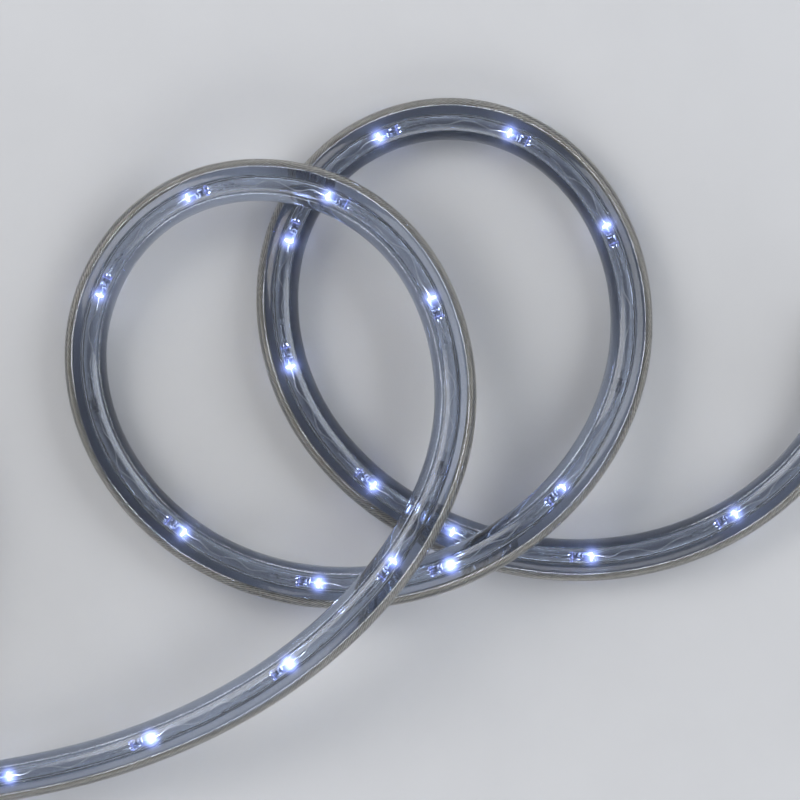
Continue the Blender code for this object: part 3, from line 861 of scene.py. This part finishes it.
def make_inlet(rope, body_surface, pin_surface):
    """The black two-pin inlet: a fluted body, a grooved neck with the rope's socket, and its pins."""
    wall = SHEATH_RADIUS + CLEARANCE
    profile = [(0.0, INLET_LENGTH), (INLET_RADIUS - EDGE - 0.1 * MM, INLET_LENGTH)]
    profile += arc(INLET_RADIUS - EDGE, INLET_LENGTH - EDGE, EDGE, 85, 0, 5)
    profile += [(INLET_RADIUS, ring) for ring in (*BODY_RINGS, INLET_NECK_LENGTH + 2 * EDGE)]
    neck = INLET_NECK_RADIUS
    profile += [(neck + NECK_SHOULDER, INLET_NECK_LENGTH + LIP), (neck, INLET_NECK_LENGTH)]
    floor = neck - GROOVE_DEPTH
    for groove in NECK_GROOVES:
        profile += [(neck, groove + GROOVE_HALF), (floor, groove + GROOVE_FLOOR_HALF)]
        profile += [(floor, groove - GROOVE_FLOOR_HALF), (neck, groove - GROOVE_HALF)]
    profile += [(neck, NECK_MOUTH_EDGE), (neck - NECK_MOUTH_EDGE, 0.0)]
    profile += [(wall + LIP, 0.0), (wall, LIP), (wall, SOCKET_DEPTH), (0.0, SOCKET_DEPTH)]
    shape = lathe(profile, INLET_SIDES, grip)
    shape.faces = [face[::-1] for face in shape.faces]
    mesh = shape.mesh("inlet_moulding")
    mesh.set_sharp_from_angle(angle=FITTING_SHARP)
    place = end_place(rope, True)
    mesh.transform(place)
    piece("inlet_moulding", mesh, body_surface, ("inlet_body",))
    for number, side in enumerate((1, -1), 1):
        low = INLET_LENGTH - PIN_IN
        high = INLET_LENGTH + PIN_OUT
        profile = [(0.0, high), *arc(PIN_RADIUS - PIN_NOSE, high - PIN_NOSE, PIN_NOSE, 90, 0, 6)]
        profile += [(PIN_RADIUS, INLET_LENGTH + 1 * MM), (PIN_RADIUS, low), (0.0, low)]
        shape = lathe(profile, PIN_SIDES)
        shape.faces = [face[::-1] for face in shape.faces]
        mesh = shape.mesh(f"inlet_pin_{number}_rod")
        mesh.set_sharp_from_angle(angle=FITTING_SHARP)
        mesh.transform(place @ Matrix.Translation((side * PIN_SPREAD, 0, 0)))
        piece(f"inlet_pin_{number}_rod", mesh, pin_surface, (f"inlet_pin_{number}",))


def rounded_box(half_width, half_height, corner, steps=8):
    """Points round a rectangle with round corners."""
    points = []
    for quarter, (sx, sy) in enumerate(((1, 1), (-1, 1), (-1, -1), (1, -1))):
        for i in range(steps + 1):
            angle = math.pi / 2 * (quarter + i / steps)
            x = sx * (half_width - corner) + corner * math.cos(angle)
            y = sy * (half_height - corner) + corner * math.sin(angle)
            points.append((x, y))
    return points


def tie_band(half_width, half_height):
    """A flat band with rounded edges, closed round a rectangle with round corners."""
    edge = TIE_WIDTH / 2
    half = [(0.0, edge - TIE_EDGE), (TIE_EDGE, edge)]
    half += [(TIE_THICKNESS - out, along) for out, along in reversed(half)]
    section = half + [(out, -along) for out, along in reversed(half)]
    loops = []
    for out, along in section:
        outline = rounded_box(half_width + out, half_height + out, SHEATH_RADIUS + out)
        loops.append([(x, y, along) for x, y in outline])
    points = np.array(loops).transpose(1, 0, 2)
    count = len(points)
    sides = len(section)
    faces = []
    for i in range(count):
        n = (i + 1) % count
        for j in range(sides):
            k = (j + 1) % sides
            faces.append([i * sides + k, n * sides + k, n * sides + j, i * sides + j])
    shape = Shape()
    shape.add(points, faces)
    return shape


def make_ties(surface):
    """Moulded cable ties round the coil's section: a band, its square head and the cut end of its tail."""
    for number, degrees in enumerate(TIE_ANGLES, 1):
        turn = (-90.0 - degrees) / 360.0 % 1.0
        turns = [coil_radius(turn + i) for i in range(math.ceil(COIL_TURNS))]
        middle = (turns[0] + turns[-1]) / 2
        half_width = (turns[0] - turns[-1]) / 2 + SHEATH_RADIUS + CLEARANCE / 2
        half_height = SHEATH_RADIUS + CLEARANCE
        shape = tie_band(half_width, half_height)
        angle = math.radians(degrees)
        outward = Vector((math.cos(angle), math.sin(angle), 0.0))
        up = Vector((0.0, 0.0, 1.0))
        turn_to = Matrix((outward, up, outward.cross(up))).transposed().to_4x4()
        centre = Vector((*(COIL_CENTRE + VIEW_CENTRE), SHEATH_RADIUS + COIL_LIFT))
        place = Matrix.Translation(centre + outward * middle) @ turn_to
        mesh = shape.mesh(f"coil_tie_{number}_band")
        mesh.set_sharp_from_angle(angle=BAND_SHARP)
        mesh.transform(place)
        piece(f"coil_tie_{number}_band", mesh, surface, (f"coil_tie_{number}",))
        head = bmesh.new()
        top = half_height + TIE_THICKNESS
        for (left, foot, half), (right, crown) in TIE_BLOCKS:
            low = Vector((left * MM, top + foot * MM, -half * MM))
            high = Vector((right * MM, top + crown * MM, half * MM))
            at = Matrix.Translation((high + low) / 2) @ Matrix.Diagonal((*(high - low), 1.0))
            bmesh.ops.create_cube(head, size=1.0, matrix=at)
        bmesh.ops.bevel(
            head, geom=head.edges[:], offset=TIE_BLOCK_EDGE, segments=3, affect="EDGES", profile=0.7,
        )
        head_mesh = bpy.data.meshes.new(f"coil_tie_{number}_head")
        head.to_mesh(head_mesh)
        head.free()
        head_mesh.shade_smooth()
        head_mesh.set_sharp_from_angle(angle=HEAD_SHARP)
        head_mesh.transform(place)
        piece(f"coil_tie_{number}_head", head_mesh, surface, ())


def make_floor():
    bpy.ops.mesh.primitive_plane_add(size=FLOOR_SIZE, location=(0.0, 0.0, 0.0))
    floor = bpy.context.object
    floor.name = "floor"
    floor.data.materials.append(pale_floor())


def area_light(name, place, size, power, colour):
    data = bpy.data.lights.new(name, "AREA")
    data.energy = power
    data.shape = "RECTANGLE"
    data.size, data.size_y = size
    data.color = colour
    made = bpy.data.objects.new(name, data)
    bpy.context.scene.collection.objects.link(made)
    made.location = place
    made.rotation_euler = (Vector(LIGHTS_AIM) - Vector(place)).to_track_quat("-Z", "Y").to_euler()


def light_studio():
    """Soft boxes on three sides, and a surround that darkens towards a low bright strip all the way round."""
    world = bpy.data.worlds.new("studio")
    bpy.context.scene.world = world
    world.use_nodes = True
    tree = world.node_tree
    found = tree.nodes.new("ShaderNodeTexCoord")
    parts = tree.nodes.new("ShaderNodeSeparateXYZ")
    ramp = tree.nodes.new("ShaderNodeValToRGB")
    tree.links.new(found.outputs["Generated"], parts.inputs["Vector"])
    tree.links.new(parts.outputs["Z"], ramp.inputs["Fac"])
    tree.links.new(ramp.outputs["Color"], tree.nodes["Background"].inputs["Color"])
    fill_ramp(ramp, SURROUND)
    tree.nodes["Background"].inputs["Strength"].default_value = 1.0
    for box in SOFT_BOXES:
        area_light(*box)


def set_camera():
    data = bpy.data.cameras.new("camera")
    data.sensor_width = SENSOR
    data.lens = SENSOR * CAMERA_HEIGHT / VIEW_WIDTH
    data.clip_end = 50.0
    made = bpy.data.objects.new("camera", data)
    bpy.context.scene.collection.objects.link(made)
    made.location = (VIEW_CENTRE.x, VIEW_CENTRE.y, VIEW_LEVEL + CAMERA_HEIGHT)
    bpy.context.scene.camera = made


def set_look():
    scene = bpy.context.scene
    scene.view_settings.view_transform = "Standard"
    scene.view_settings.look = "None"
    scene.cycles.use_denoising = True
    scene.cycles.max_bounces = 24
    scene.cycles.transmission_bounces = 24
    scene.cycles.glossy_bounces = 8
    scene.cycles.diffuse_bounces = 4
    scene.cycles.transparent_max_bounces = 16
    scene.cycles.sample_clamp_indirect = 40.0
    scene.cycles.caustics_refractive = True
    scene.cycles.caustics_reflective = True
    add_halo(scene)


def add_halo(scene):
    """A soft blue halo round what is many times brighter than white, as a lens gives a lit diode."""
    scene.use_nodes = True
    tree = scene.node_tree
    tree.nodes.clear()
    layers = tree.nodes.new("CompositorNodeRLayers")
    bright = tree.nodes.new("CompositorNodeGlare")
    bright.glare_type = "BLOOM"
    bright.quality = "HIGH"
    bright.inputs["Threshold"].default_value = HALO_FROM
    soft = tree.nodes.new("CompositorNodeBlur")
    soft.filter_type = "GAUSS"
    soft.size_x = HALO_REACH
    soft.size_y = HALO_REACH
    tint = tree.nodes.new("CompositorNodeMixRGB")
    tint.blend_type = "MULTIPLY"
    tint.inputs[2].default_value = HALO_COLOUR
    total = tree.nodes.new("CompositorNodeMixRGB")
    total.blend_type = "ADD"
    result = tree.nodes.new("CompositorNodeComposite")
    tree.links.new(layers.outputs["Image"], bright.inputs["Image"])
    tree.links.new(bright.outputs["Highlights"], soft.inputs["Image"])
    tree.links.new(soft.outputs["Image"], tint.inputs[1])
    tree.links.new(layers.outputs["Image"], total.inputs[1])
    tree.links.new(tint.outputs["Image"], total.inputs[2])
    tree.links.new(total.outputs["Image"], result.inputs["Image"])


def main():
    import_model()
    set_camera()
    make_floor()
    light_studio()
    set_look()
    rope = Rope()
    pvc = clear_pvc()
    black = black_plastic()
    surfaces = {
        "lead": plated_metal("lead_metal", (0.78, 0.78, 0.78), 0.25),
        "post": plated_metal("post_metal", (0.34, 0.35, 0.38), 0.5, 0.6),
        "solder": plated_metal("solder", (0.66, 0.67, 0.7), 0.4),
        "wire": plated_metal("link_wire_metal", (0.95, 0.93, 0.88), 0.4, 0.5),
        ("epoxy", True): led_epoxy(True),
        ("epoxy", False): led_epoxy(False),
        ("chip", True): led_chip(True),
        ("chip", False): led_chip(False),
    }
    sheath, path = make_sheath(rope, pvc)
    make_conductors(rope, tinned_strand())
    make_light_string(rope, surfaces)
    cap = make_end_cap(rope, pvc)
    make_inlet(rope, black, plated_metal("pin_plating", (0.85, 0.8, 0.68), 0.2))
    make_ties(black)
    mouth = end_place(rope, True).translation
    bpy.context.view_layer.update()


main()
